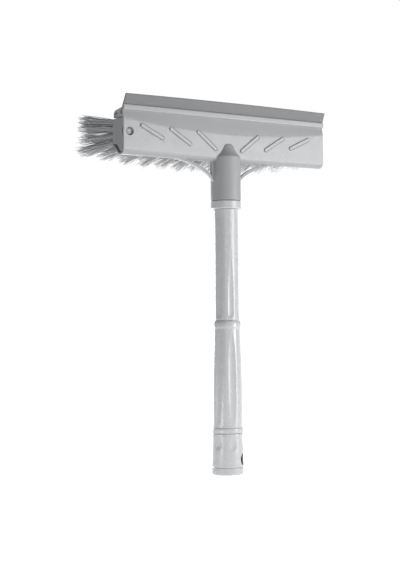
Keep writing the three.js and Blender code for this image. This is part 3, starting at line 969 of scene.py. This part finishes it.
def hanging_end_cap(plastic):
    """Hollow cap with a flat end, a fine groove round it, short flutes and a spigot in the grip."""
    radius = cap_high.x
    top = 42
    outside = curve_through([
        (0, radius - 1.4), (0.35, radius - 0.6), (1.1, radius - 0.1), (2, radius), (6.4, radius),
        (7, radius - 0.2), (7.6, radius - 0.75), (8.2, radius - 0.3), (8.8, radius - 0.1),
        (22, radius - 0.3), (30, radius - 0.5), (36, radius - 0.7), (top - 0.8, 15.6), (top - 0.3, 15.5),
        (top, 15.3),
    ], spacing=1)
    spigot = 11.3
    bore = 9
    inner_floor = 3
    inside = [(spigot, top), (spigot, cap_high.z - 0.5), (spigot - 0.4, cap_high.z)]
    inside += [(bore, cap_high.z), (bore, inner_floor + 0.6), (bore - 0.6, inner_floor), (0, inner_floor)]

    def deepness(z):
        return 0.75 * smooth_step(24, 29.5, z) * (1 - smooth_step(30, 41, z))

    cap = turned("end_cap", [(0, 0)] + outside + inside, HANDLE_SEGMENTS, flute_inset(deepness, 14.8))
    combine(cap, hanging_hole(), "DIFFERENCE")
    cap.name = "hanging_end_cap_moulding"
    return complete(cap, plastic, "handle", ["hanging_end_cap"])


def threaded_ferrule(plastic):
    """Spigot in the upper tube, collar under the socket and stud with rings of thread."""
    low = tube_high.z + HANDLE_GAP
    high = SOCKET_BOTTOM - HANDLE_GAP
    radius = ferrule_high.x
    spigot = 8.5
    stud = 7.6
    crest_radius = 9
    profile = [(0, ferrule_low.z), (spigot - 0.5, ferrule_low.z), (spigot, ferrule_low.z + 0.5)]
    profile += [(spigot, low), (radius - 1.4, low)]
    profile += arc((radius - 1.3, low + 1.3), 1.3, -80, 0, 6)
    profile += arc((radius - 1.1, high - 1.1), 1.1, 0, 90, 6)
    profile += [(stud, high)]
    for turn in range(THREAD_TURNS):
        crest = high + (turn + 0.5) * THREAD_PITCH + 0.8
        profile += [(stud, crest - 1.2), (crest_radius, crest - 0.4)]
        profile += [(crest_radius, crest + 0.4), (stud, crest + 1.2)]
    profile += [(stud, ferrule_high.z - 1), (stud - 1, ferrule_high.z), (0, ferrule_high.z)]
    ferrule = turned("threaded_ferrule_moulding", profile)
    return complete(ferrule, plastic, "handle", ["threaded_ferrule"])


# ---- Stage ----

def area_light(name, place, aim, size, power):
    """Rectangular soft light at a place in metres, aimed at a point, its power in watts."""
    data = bpy.data.lights.new(name, "AREA")
    data.shape = "RECTANGLE"
    data.size, data.size_y = size
    data.energy = power
    light = bpy.data.objects.new(name, data)
    light.location = place
    light.rotation_euler = (Vector(aim) - Vector(place)).to_track_quat("-Z", "Y").to_euler()
    bpy.context.scene.collection.objects.link(light)
    return light


def floor():
    """Pale table that glows a little, as a light table does, so the object stands in even light."""
    half_size = 12
    floor_z = cad_low.z
    mesh = bpy.data.meshes.new("floor")
    corners = [(x * half_size, y * half_size) for x, y in ((-1, -1), (1, -1), (1, 1), (-1, 1))]
    mesh.from_pydata([(x, y, floor_z) for x, y in corners], [], [(0, 1, 2, 3)])
    plane = bpy.data.objects.new("floor", mesh)
    bpy.context.scene.collection.objects.link(plane)
    nodes = Nodes("pale_floor")
    tone = nodes.ramp(nodes.noise(3), (0.88, 0.88, 0.88), (0.9, 0.9, 0.9))
    nodes.link(tone, nodes.shader.inputs["Base Color"])
    nodes.shader.inputs["Roughness"].default_value = 0.9
    nodes.shader.inputs["Specular IOR Level"].default_value = 0
    nodes.shader.inputs["Emission Color"].default_value = (1, 1, 1, 1)
    nodes.shader.inputs["Emission Strength"].default_value = 0.75
    mesh.materials.append(nodes.material)


def surroundings():
    """Walls that grow brighter towards +X and light the object; the camera sees white paper instead."""
    world = bpy.data.worlds.new("studio")
    bpy.context.scene.world = world
    world.use_nodes = True
    tree = world.node_tree
    walls = tree.nodes["Background"]
    place = tree.nodes.new("ShaderNodeTexCoord")
    split = tree.nodes.new("ShaderNodeSeparateXYZ")
    tree.links.new(place.outputs["Generated"], split.inputs["Vector"])
    spread = tree.nodes.new("ShaderNodeMapRange")
    for limit, value in (("From Min", -0.9), ("From Max", 0.5), ("To Min", 0.14), ("To Max", 0.5)):
        spread.inputs[limit].default_value = value
    tree.links.new(split.outputs["X"], spread.inputs["Value"])
    tree.links.new(spread.outputs["Result"], walls.inputs["Strength"])
    walls.inputs["Color"].default_value = (0.98, 0.985, 1, 1)
    paper = tree.nodes.new("ShaderNodeBackground")
    paper.inputs["Color"].default_value = (1, 1, 1, 1)
    seen = tree.nodes.new("ShaderNodeLightPath")
    choose = tree.nodes.new("ShaderNodeMixShader")
    tree.links.new(seen.outputs["Is Camera Ray"], choose.inputs["Fac"])
    tree.links.new(walls.outputs["Background"], choose.inputs[1])
    tree.links.new(paper.outputs["Background"], choose.inputs[2])
    tree.links.new(choose.outputs["Shader"], tree.nodes["World Output"].inputs["Surface"])


def lights():
    """Five soft lights.

    Two strips at the front right light the head and the handle, and a low narrow reflector on the left
    the end cap. A wide fill on the front left lifts the shadows, and one behind lights the bristles.
    """
    area_light("head_strip", (0.747, -1.093, 0.395), (0, 0, 0.395), (0.79, 0.36), 4.9)
    area_light("handle_strip", (0.469, -0.559, 0.08), (0, 0, 0.08), (0.15, 0.28), 1.8)
    reflector = area_light("reflector", (-0.36, -0.05, 0), (0, 0, 0), (0.2, 0.12), 0.05)
    reflector.data.spread = math.radians(50)
    area_light("under_brush", (0.05, 0.5, 0.16), (-0.06, 0.04, 0.34), (0.3, 0.3), 1.6)
    area_light("front_fill", (-0.8, -1.18, 0.25), (0, 0, 0.25), (0.5, 0.5), 1.3)


def camera():
    """Camera at the photograph's viewing angle: from the front left and slightly from below."""
    bearing = math.radians(34)
    elevation = math.radians(-1.25)
    roll = math.radians(-0.44)
    distance = 1.3235
    aim = Vector((-0.0214, 0.0169, 0.1939))
    flat = math.cos(elevation)
    back = Vector((-math.sin(bearing) * flat, -math.cos(bearing) * flat, math.sin(elevation)))
    level = Vector((math.cos(bearing), -math.sin(bearing), 0))
    above = back.cross(level)
    right = level * math.cos(roll) + above * math.sin(roll)
    up = above * math.cos(roll) - level * math.sin(roll)
    data = bpy.data.cameras.new("camera")
    data.lens = 81.16
    data.clip_start = 0.05
    data.clip_end = 60
    view = bpy.data.objects.new("camera", data)
    view.matrix_world = Matrix((
        (right.x, up.x, back.x, aim.x + back.x * distance),
        (right.y, up.y, back.y, aim.y + back.y * distance),
        (right.z, up.z, back.z, aim.z + back.z * distance),
        (0, 0, 0, 1),
    ))
    bpy.context.scene.collection.objects.link(view)
    bpy.context.scene.camera = view


# ---- Assembly ----

# Shell, handle and brush block are one light grey plastic, so their different tones are painted light and
# shade: the handle is set lighter for the stronger light low down, the brush block darker as painted shade.
shell_plastic = moulded_plastic("shell_plastic", (0.3, 0.305, 0.312), 0.5, (0.3, 1, 1), polished_panel)
handle_plastic = moulded_plastic("handle_plastic", (0.48, 0.485, 0.495), 0.26, (1, 1, 0.3))
# The end cap is the handle's plastic with painted shade inside its hanging hole.
cap_plastic = moulded_plastic("cap_plastic", (0.48, 0.485, 0.495), 0.26, (1, 1, 0.3), painted_shade=hole_painted_shade)
brush_plastic = moulded_plastic("brush_plastic", (0.245, 0.25, 0.256), 0.45, (0.3, 1, 1))
# The peg is set lighter than the brush block so that its recessed face, which the hole's wall shades, looks
# lit: painted light.
peg_plastic = moulded_plastic("peg_plastic", (0.35, 0.355, 0.363), 0.45, (1, 1, 1))
rubber = blade_rubber()
nylon = bristle_nylon()

camera()
head_shell(shell_plastic)
rubber_blade(rubber)
brush_block(brush_plastic)
lock_peg(peg_plastic)
for row in range(len(TUFT_ROWS)):
    for column in range(TUFT_COLUMNS):
        bristle_tuft(row, column, nylon)
threaded_ferrule(handle_plastic)
upper_tube(handle_plastic)
grip_tube(handle_plastic)
hanging_end_cap(cap_plastic)

floor()
surroundings()
lights()
bpy.context.scene.view_settings.view_transform = "Standard"
